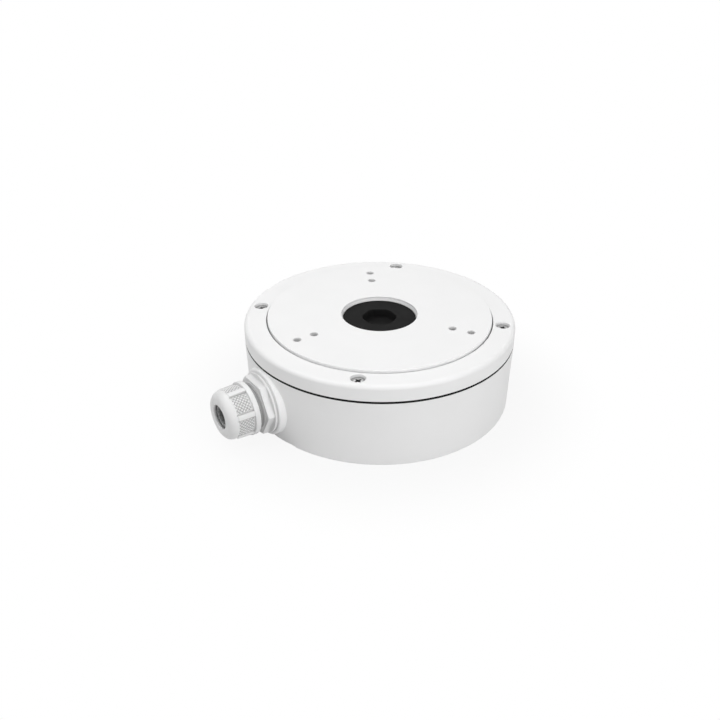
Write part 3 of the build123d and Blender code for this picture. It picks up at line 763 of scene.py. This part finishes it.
def make_grommet():
    """Cable grommet: turned flanges that grip the cover's ledge, and a blind pocket in the face
    that follows a soft hexagon, with a moulded tab and a cut line on its floor."""
    columns = 288
    angle = all_round(columns)
    flange, back, flat_edge = CENTRE_FOOT - 0.1, rubber_low[2], 20.0
    body = rounded([(0, back, 0), (21.5, back, 0.5), (21.5, ledge_under, 0.2), (18.9, ledge_under, 0),
                    (18.9, ledge_top, 0), (flange, ledge_top, 0), (flange, rubber_face, 0.35),
                    (flat_edge, rubber_face, 0)], False)
    outline = soft_hexagon(angle, 18.6, 4.8)
    mouth, root, depth = 0.5, 0.9, 5.3
    low = rubber_face - depth
    t = np.linspace(0, math.pi / 2, 9)[:, None]
    face = flat_edge + np.array([0.25, 0.5, 0.75, 0.97])[:, None] * (outline + mouth - flat_edge)
    down = np.linspace(mouth, depth - root, 8)[1:-1, None]
    floor = (outline - root) * np.linspace(1, 0, 26)[1:, None]
    radius, height = stacked([
        body,
        (face, np.full((4, 1), rubber_face)),
        (outline + mouth * (1 - np.sin(t)), rubber_face - mouth * (1 - np.cos(t))),
        (outline, rubber_face - down),
        (outline - root * (1 - np.cos(t)), low + root * (1 - np.sin(t))),
        (floor, np.full((25, 1), low)),
    ], columns)
    height = np.broadcast_to(height, radius.shape).copy()
    x, y = radius * np.cos(angle), radius * np.sin(angle)
    on_floor = np.arange(len(radius))[:, None] >= len(radius) - len(floor) - 1
    tab = np.exp(-(((np.hypot(x, y) - 5.6) / 0.9) ** 2)) * np.clip((x * -0.83 + y * -0.56 - 2.2) / 1.6, 0, 1)
    slit = np.exp(-(((x * 0.45 - y * -0.9 + 1.0) / 0.35) ** 2)) * np.clip((x - 1.0) / 1.5, 0, 1)
    height += on_floor * (0.9 * tab - 0.5 * slit)
    return make_piece("rubber_grommet", [patch(about(BOX_AXIS, radius, height, angle))], RUBBER,
                      "housing", ["cable_grommet"])


def make_washer():
    """Gland washer: thin rubber ring squeezed between the boss and the gland's collar."""
    section = [(12.6, BOSS_FACE, 0), (17.3, BOSS_FACE, 0.2), (17.3, WASHER_END, 0.1), (12.6, WASHER_END, 0)]
    ring = rounded(section, steps=4, beside=0.02)
    return make_piece("gland_seal_washer", [turned(ring, GLAND_AXIS, 200)], WASHER,
                      "housing", ["gland_washer"])


# Screws


def screw_head(axis, turn):
    """Pan-head screw: head with a rounded edge turned about its own axis. The cross recess lowers
    the top by a depth that grows with the distance inside the two crossed slots."""
    angle = all_round(120)
    flat, dish, arm, half_slot = 2.5, 0.22, 2.25, 0.62
    top = np.linspace(0, flat, 30)[1:]
    tip = screws_low[2]
    edge = rounded([(flat, head_top, 0), (HEAD_RADIUS, head_top, 1.0), (HEAD_RADIUS, head_seat, 0.2)]
                   + [(SHANK, head_seat, 0), (SHANK, tip, 0.4), (0, tip, 0)], False, steps=7)
    radius = np.concatenate([[0], top, edge[1:, 0]])[:, None]
    height = np.concatenate([np.full(len(top) + 1, head_top), edge[1:, 1]])[:, None]
    crown = dish * np.clip(1 - (radius / 3.2) ** 2, 0, 1) * (height == head_top)
    x, y = np.abs(radius * np.cos(angle - turn)), np.abs(radius * np.sin(angle - turn))
    slot = np.minimum(np.maximum(x / arm, y / half_slot), np.maximum(y / arm, x / half_slot))
    depth = 1.9 * np.clip((1 - slot) / 0.3, 0, 1) ** 0.8 * (np.arange(len(radius)) <= len(top))[:, None]
    height = np.minimum(height - dish * (radius < 3.2) + crown, head_top) - depth
    # painted shade for the cross recess and round the head's edge, for the finish to darken
    painted_shade = np.maximum(smooth(depth / 0.8), smooth((radius - 3.1) / 0.4))
    return patch(about(axis, radius, height, angle)), np.broadcast_to(painted_shade, height.shape)


def make_screws():
    """Four equal screws in their counterbores, each stopped at its own angle."""
    turns = [math.radians(31 + 9 * i) for i in range(len(SCREW_ANGLES))]
    heads = [screw_head(upright(angle, SCREW_CIRCLE), turn) for angle, turn in zip(SCREW_ANGLES, turns)]
    painted_shade = np.concatenate([head[1] for head in heads])
    return make_piece("cover_fixing_screws", [head[0] for head in heads], STEEL,
                      "housing", ["cover_screws"], crease=50, painted_shade=painted_shade)


# Gland


def make_gland_body():
    """Gland body turned about the gland's level axis: plain shank, collar, hexagon and threaded
    neck. The hexagon's radius is the smaller of a soft hexagon and a cone that bevels its corners,
    joined smoothly, and the neck's radius is a screw thread that fades in behind the hexagon."""
    columns = 360
    angle = all_round(columns)
    collar = rounded([(GLAND_WAY, SHANK_END, 0), (GLAND_SHANK, SHANK_END, 0.3), (GLAND_SHANK, WASHER_END, 0),
                      (COLLAR, WASHER_END, 0.25), (COLLAR, COLLAR_END, 0.35),
                      (17.16, COLLAR_END, 0)], False)[:-1]
    hexagon = soft_hexagon(angle, ACROSS_FLATS, 0.5)
    s = np.concatenate([[COLLAR_END, COLLAR_END + 0.12], np.linspace(COLLAR_END + 0.3, HEX_END, 22)])[:, None]
    cone = HEX_BEVEL + (HEX_END - s) * 1.73
    foot = 0.25 * np.clip(1 - (s - COLLAR_END) / 0.3, 0, 1) ** 2
    blend = 0.12
    near = (hexagon - cone) / blend
    flat = cone + blend * (near - np.logaddexp(0, near)) + foot
    shoulder = np.array([[14.55, HEX_END], [13.9, HEX_END], [13.5, HEX_END + 0.05], [13.25, HEX_END + 0.18]])
    fine, coarse = np.arange(HEX_END + 0.35, 91.0, 0.125), np.linspace(91.2, NECK_END - 0.65, 18)
    neck_s = np.concatenate([fine, coarse])[:, None]
    fade = np.clip((neck_s - HEX_END - 0.35) / 0.5, 0, 1)
    neck = NECK - (NECK - thread(NECK, THREAD_DEPTH, PITCH, neck_s, angle)) * fade
    end = rounded([(NECK - THREAD_DEPTH, NECK_END - 0.5, 0), (12.6, NECK_END, 0.1),
                   (CAGE_SEAT, NECK_END, 0.1), (CAGE_SEAT, CAGE_FOOT, 0), (GLAND_WAY, CAGE_FOOT, 0),
                   (GLAND_WAY, SHANK_END, 0)], False)
    radius, distance = stacked([collar, (flat, s), shoulder, (neck, neck_s), end], columns)
    # painted shade in the gap on the neck between the hexagon and the nut, fading toward the nut, and a faint
    # band at the hexagon's foot
    neck_shade = smooth((distance - HEX_END - 0.1) / 0.4) * (1 - 0.7 * smooth((distance - 88.4) / 1.6))
    painted_shade = np.where(distance > HEX_END, neck_shade, 0.2 * np.exp(-(((distance - COLLAR_END) / 0.9) ** 2)))
    painted_shade = np.broadcast_to(np.where(distance < COLLAR_END, 0.0, painted_shade), radius.shape)
    return make_piece("gland_hexagon_body", [patch(about(GLAND_AXIS, radius, distance, angle))], NYLON,
                      "housing", ["gland_body"], painted_shade=painted_shade)


def make_dome_nut():
    """Dome nut turned about the gland's axis: rear ring, barrel, round nose and rolled lip. Six
    raised bars run along the barrel, each a smooth step up from a shallow valley that rises to the
    nose at its end. Between the valleys the panels carry a diamond knurl, whose height is the
    smaller of two triangular waves that climb round the barrel in opposite senses."""
    columns = 576
    angle = all_round(columns)
    rear = rounded([(NUT_BORE, NUT_START, 0.25), (RING, NUT_START, 0.5), (RING, BARREL_START, 0.4),
                    (13.0, BARREL_START, 0)], False, beside=0.03)[:-1]
    s = np.linspace(BARREL_START, BARREL_END, 84)[:, None]
    t = np.linspace(0, math.pi / 2, 16)[1:, None]
    nose = (NOSE - SKIN - NOSE_ROUND + NOSE_ROUND * np.cos(t), BARREL_END + NOSE_ROUND * np.sin(t))
    t = np.linspace(math.pi / 2, math.pi, 9)[:, None]
    lip = (MOUTH + MOUTH_ROUND + MOUTH_ROUND * np.cos(t), NUT_END - MOUTH_ROUND + MOUTH_ROUND * np.sin(t))
    inside = rounded([(MOUTH, 105.0, 0), (MOUTH, 105.6, 0), (8.4, 104.1, 0), (12.17, CONE_START, 0),
                      (NUT_BORE, CONE_START, 0), (NUT_BORE, NUT_START + 0.3, 0)], False)
    off_bar = np.abs((angle - math.radians(BAR_ANGLE) + TURN / 12) % (TURN / 6) - TURN / 12) * BARREL
    base = VALLEY + (NOSE - VALLEY) * smooth((s - BARREL_END + 0.9) / 0.7)
    turns, climb = KNURL_TURNS * angle / TURN, (s - BARREL_START) / KNURL_CLIMB
    first, second = (np.abs((turns + way * climb) % 1 * 2 - 1) for way in (1, -1))
    panel = np.clip((off_bar - 2.0) / 0.3, 0, 1) * np.clip((s - BARREL_START - 0.3) / 0.3, 0, 1)
    panel = panel * np.clip((BARREL_END - 0.9 - s) / 0.4, 0, 1)
    diamond = np.minimum(first, second)
    base = base + KNURL_RELIEF * diamond * panel
    top = BARREL + BAR_RISE - BAR_FALL * (s - BARREL_START) / (BARREL_END - BARREL_START)
    step = smooth((1.7 - off_bar) / 0.5) * smooth((BARREL_END - s) / 1.2)
    barrel = base + (top - base) * step
    radius, distance = stacked([rear, (barrel, s), nose, lip, inside], columns)
    # painted shade in the knurl's valleys and in a dark line beside the foot of each bar
    foot = np.exp(-(((off_bar - 1.75) / 0.3) ** 2)) * smooth((BARREL_END - 0.2 - s) / 0.5)
    shade = np.maximum(panel * smooth(1.0 - 2.2 * diamond), 0.9 * foot)
    painted_shade = np.zeros(radius.shape)
    painted_shade[len(rear) : len(rear) + len(s)] = shade
    form = patch(about(GLAND_AXIS, radius, distance, angle), loop=True)
    return make_piece("gland_dome_cap", [form], NYLON,
                      "gland_nut", ["gland_dome_nut"], crease=60, painted_shade=painted_shade)


def make_seal():
    """Seal sleeve inside the gland: turned ring with a soft lead-in at its mouth."""
    bore, back, front = 5.2, 90.2, 104.6
    sleeve = rounded([(bore, back, 0.2), (10.47, back, 0.2), (10.47, CONE_START, 0), (6.8, 103.9, 0),
                      (6.45, front, 0.4), (bore, front, 0.7)])
    return make_piece("gland_seal_sleeve", [turned(sleeve, GLAND_AXIS, 160)], SEAL,
                      "gland_insert", ["gland_seal"])


make_cup()
make_cover()
make_gasket()
make_grommet()
make_washer()
make_screws()
make_gland_body()
make_dome_nut()
make_seal()

for name, finish in {
    "gland_locknut": NYLON,
    "gland_cage": NYLON,
    "rear_entry_plug": NYLON,
    "rear_plug_o_ring": GASKET,
    "earth_washer": STEEL,
    "earth_screw": STEEL,
}.items():
    for material_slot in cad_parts[name].material_slots:
        material_slot.material = finish


# Studio

RAYS = ("Is Camera Ray", "Is Glossy Ray", "Is Transmission Ray")  # these see plain white
LAMP_TARGET = (0, 0, 0.03)


def make_world():
    """Soft even light from all round; the camera and mirror reflections see plain white."""
    world = bpy.data.worlds.new("soft_studio")
    bpy.context.scene.world = world
    world.use_nodes = True
    tree = world.node_tree
    tree.nodes.clear()
    path = tree.nodes.new("ShaderNodeLightPath")
    light = tree.nodes.new("ShaderNodeBackground")
    light.inputs["Strength"].default_value = 0.2
    white = tree.nodes.new("ShaderNodeBackground")
    white.inputs["Color"].default_value = grey(1.0)
    white.inputs["Strength"].default_value = 1.0
    light.inputs["Color"].default_value = grey(1.0)
    seen = path.outputs[RAYS[0]]
    for ray in RAYS[1:]:
        most = tree.nodes.new("ShaderNodeMath")
        most.operation = "MAXIMUM"
        tree.links.new(seen, most.inputs[0])
        tree.links.new(path.outputs[ray], most.inputs[1])
        seen = most.outputs[0]
    mix = tree.nodes.new("ShaderNodeMixShader")
    out = tree.nodes.new("ShaderNodeOutputWorld")
    tree.links.new(seen, mix.inputs[0])
    tree.links.new(light.outputs[0], mix.inputs[1])
    tree.links.new(white.outputs[0], mix.inputs[2])
    tree.links.new(mix.outputs[0], out.inputs["Surface"])


def make_floor():
    """Pale floor under the box: a round sheet that shows the soft shadow near the box and fades
    to plain white further out."""
    radius = np.array([0.0, 60, 120, 200, 300, 500, 900, 2000])
    points = about(BOX_AXIS, radius[:, None], -0.05, all_round(96))
    faces = cells(len(radius), 96)
    mesh = bpy.data.meshes.new("studio_floor")
    mesh.from_pydata((points.reshape(-1, 3) * MM).tolist(), [], faces.tolist())
    floor = bpy.data.objects.new("studio_floor", mesh)
    bpy.context.scene.collection.objects.link(floor)
    paper = Finish("studio_paper", Roughness=0.9)
    paper.wire(Base_Color=grey(0.5))
    glow = paper.node("ShaderNodeEmission", None, Color=grey(1.0), Strength=1.0)
    camera, glossy, through = (paper.node("ShaderNodeLightPath", output=ray) for ray in RAYS)
    seen = camera.math("MAXIMUM", glossy).math("MAXIMUM", through)
    reach = paper.node("ShaderNodeVectorMath", {"operation": "LENGTH"}, paper.place, output="Value")
    share = seen * (0.9 + 0.1 * reach.within(0.08, 0.14))
    mix = paper.node("ShaderNodeMixShader", None, share, Value(paper, paper.shader.outputs[0]), glow)
    paper.link(mix, paper.tree.nodes["Material Output"].inputs["Surface"])
    mesh.materials.append(paper.material)


def make_lamp(name, place, size, power):
    """Square soft lamp at a place, facing the box, in metres and watts."""
    lamp = bpy.data.lights.new(name, "AREA")
    lamp.size = size
    lamp.energy = power
    holder = bpy.data.objects.new(name, lamp)
    holder.location = place
    facing = np.array(LAMP_TARGET) - np.array(place)
    holder.rotation_euler = Vector(facing).to_track_quat("-Z", "Y").to_euler()
    bpy.context.scene.collection.objects.link(holder)


def make_camera():
    """Camera at the photograph's viewing angle."""
    lens = bpy.data.cameras.new("photo_camera")
    lens.sensor_width = 36.0
    lens.lens = 42.355
    camera = bpy.data.objects.new("photo_camera", lens)
    camera.location = (-0.01134, -0.439667, 0.277399)
    camera.rotation_euler = (math.radians(59.662), 0, 0)
    bpy.context.scene.collection.objects.link(camera)
    bpy.context.scene.camera = camera


make_world()
make_floor()
for name, place, size, power in (
    ("overhead_softbox", (0.0, 0.0, 1.0), 0.9, 4.1),
    ("left_softbox", (-0.85, -0.15, 0.5), 0.7, 2.2),
    ("front_right_softbox", (0.6, -0.75, 0.4), 0.7, 4.1),
    ("back_softbox", (0.0, 0.8, 0.7), 0.7, 1.3),
    ("upper_left_softbox", (-0.5, 0.1, 0.85), 0.5, 1.0),
    ("low_front_softbox", (0.1, -1.0, 0.08), 0.5, 1.5),
    ("upper_front_softbox", (0.1, -0.55, 0.85), 0.5, 0.8),
):
    make_lamp(name, place, size, power)
make_camera()
bpy.context.scene.view_settings.view_transform = "Standard"
